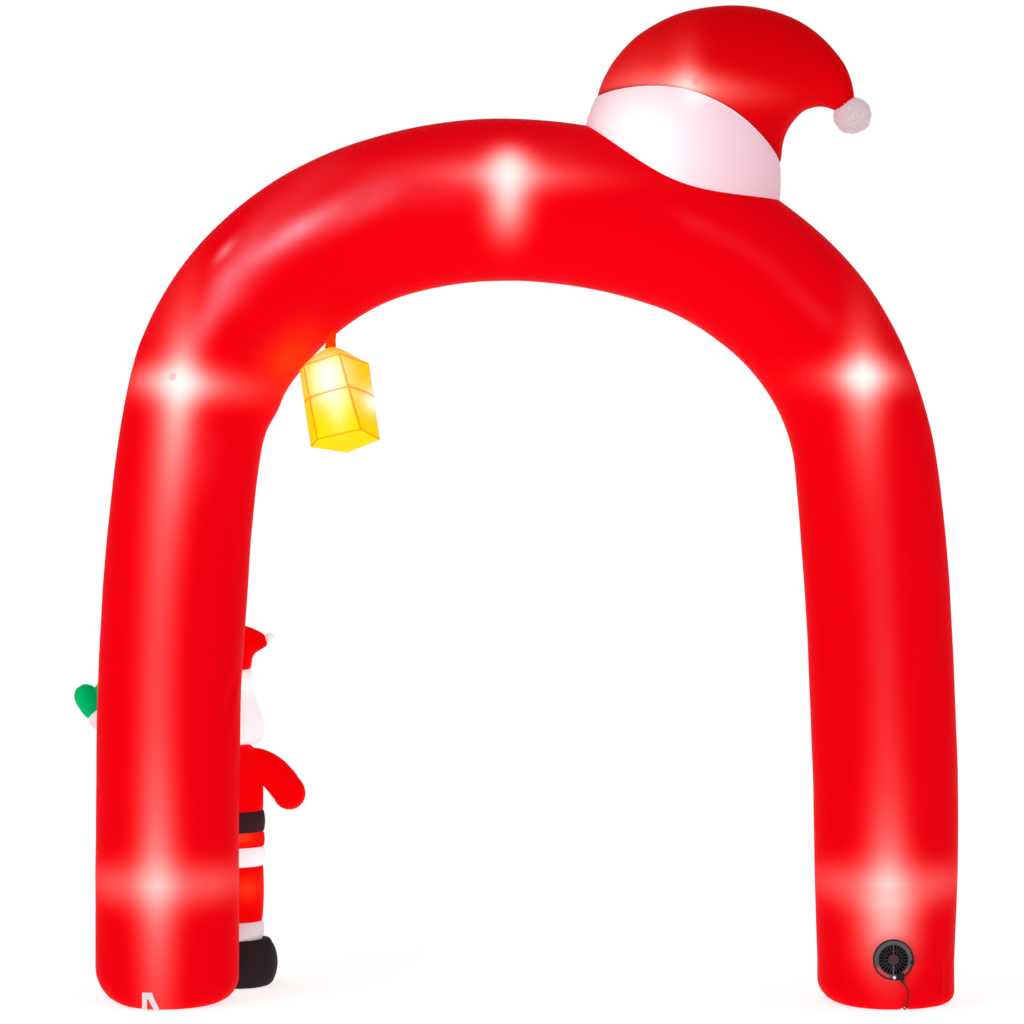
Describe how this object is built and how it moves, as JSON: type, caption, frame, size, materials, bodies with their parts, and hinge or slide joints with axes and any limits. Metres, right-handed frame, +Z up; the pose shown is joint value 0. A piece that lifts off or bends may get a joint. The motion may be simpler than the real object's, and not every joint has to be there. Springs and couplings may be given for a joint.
{
  "type": "inflatable arch",
  "caption": "Inflatable festive walk-through arch of red cloth with a giant tilted hat, a hanging lantern, a standing figure, a built-in blower and its coiled mains lead.",
  "frame": {"origin": "centre of the footprint's bounding box, on the ground, without the mains lead", "axes": "+Z up, +X to the right as seen from the blower's side, +Y away from the blower's side, towards the standing figure"},
  "size_m": [2.7572, 0.8794, 3.051],
  "materials": {
    "red_cloth": "woven polyester, slight sheen",
    "deep_red_cloth": "woven polyester, slight sheen",
    "white_cloth": "woven polyester, slight sheen",
    "fleece": "curly pile",
    "yellow_cloth": "woven polyester, lit from inside",
    "orange_cloth": "gathered polyester",
    "boot_cloth": "woven polyester, slight sheen",
    "belt_cloth": "woven polyester, slight sheen",
    "green_cloth": "woven polyester, slight sheen",
    "face_cloth": "woven polyester",
    "lamp_patch": "sewn disc",
    "webbing": "ribbed webbing",
    "grey_plastic": "fine texture",
    "black_plastic": "satin",
    "white_plastic": "gloss",
    "motor_steel": "satin",
    "cord_rubber": "satin",
    "pin_brass": "polished"
  },
  "bodies": {
    "arch": {"arch_tube": "red_cloth", "hat_crown": "deep_red_cloth", "hat_band": "white_cloth", "hat_pompom": "fleece", "lantern_body": "yellow_cloth", "lantern_hanger": "orange_cloth", "figure_hat": "red_cloth", "figure_hat_band": "white_cloth", "figure_hat_pompom": "white_cloth", "figure_hair": "white_cloth", "figure_face": "face_cloth", "figure_beard": "white_cloth", "figure_nose": "face_cloth", "figure_coat": "red_cloth", "figure_belt": "belt_cloth", "figure_skirt": "red_cloth", "figure_trim": "white_cloth", "figure_leg_left": "red_cloth", "figure_leg_right": "red_cloth", "figure_cuff_left": "white_cloth", "figure_cuff_right": "white_cloth", "figure_boot_left": "boot_cloth", "figure_boot_right": "boot_cloth", "figure_sleeve_left": "red_cloth", "figure_sleeve_right": "red_cloth", "figure_wrist_left": "white_cloth", "figure_wrist_right": "white_cloth", "figure_mitten_left": "green_cloth", "figure_mitten_right": "green_cloth", "stake_loop": "webbing", "light_patch_bend": "lamp_patch", "light_patch_hat": "lamp_patch", "blower_housing": "black_plastic", "blower_flange": "grey_plastic", "blower_rim": "black_plastic", "blower_grille": "grey_plastic", "blower_hub": "grey_plastic", "blower_channel": "grey_plastic", "blower_rib": "grey_plastic", "blower_tab": "black_plastic", "blower_button": "white_plastic", "blower_motor": "motor_steel", "cord_gland": "black_plastic", "cord_relief": "cord_rubber", "cord_run": "cord_rubber", "cord_coil": "cord_rubber", "cord_tail": "cord_rubber", "cord_plug": "cord_rubber", "cord_pin_1": "pin_brass", "cord_pin_2": "pin_brass"},
    "fan": {"fan_wheel": "black_plastic"}
  },
  "joints": [
    {"name": "fan_spin", "type": "hinge", "parent": "arch", "child": "fan", "pos_m": [1.1585, -0.3724, 0.154], "axis": [0, 1, 0], "continuous": true}
  ]
}
